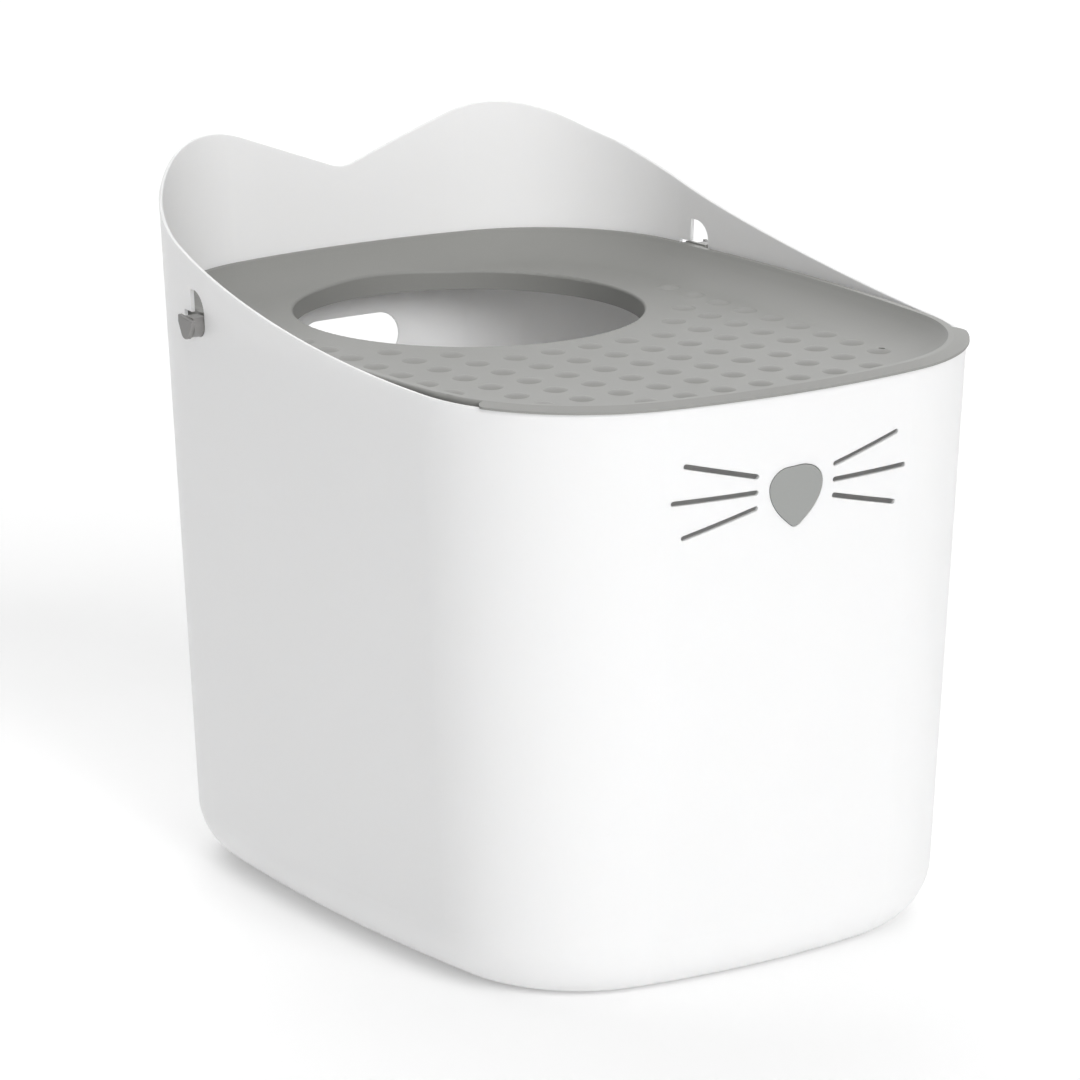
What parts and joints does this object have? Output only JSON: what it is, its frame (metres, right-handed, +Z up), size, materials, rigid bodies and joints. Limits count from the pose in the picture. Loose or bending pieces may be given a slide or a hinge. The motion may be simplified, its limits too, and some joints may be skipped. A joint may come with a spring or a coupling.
{
  "type": "top entry litter box",
  "caption": "Top entry litter box: a tapered tub with a rim that climbs to two rear peaks, and a hinged lid with a round entry hole, raised grip bumps and a hinge pin each side.",
  "frame": {"origin": "on the floor, under the middle of the tub", "axes": "+X to the right as seen from the front, +Y to the rear, +Z up"},
  "size_m": [0.416, 0.5183, 0.4687],
  "materials": {
    "tub_plastic": "white, satin to gloss, slightly translucent polypropylene",
    "nose_plastic": "mid grey, smooth matt",
    "lid_plastic": "warm mid grey, smooth matt",
    "pin_plastic": "warm mid grey, smooth matt"
  },
  "bodies": {
    "tub": {"tub": "tub_plastic", "nose_inlay": "nose_plastic"},
    "hinge_pins": {"hinge_pin_left": "pin_plastic", "hinge_pin_right": "pin_plastic"},
    "lid": {"lid": "lid_plastic"}
  },
  "joints": [
    {"name": "hinge_lift", "type": "slide", "parent": "tub", "child": "hinge_pins", "axis": [0, 0, 1], "range_m": [0, 0.01]},
    {"name": "lid_hinge", "type": "hinge", "parent": "hinge_pins", "child": "lid", "pos_m": [0, 0.1169, 0.376], "axis": [-1, 0, 0], "range_deg": [0, 100]}
  ]
}
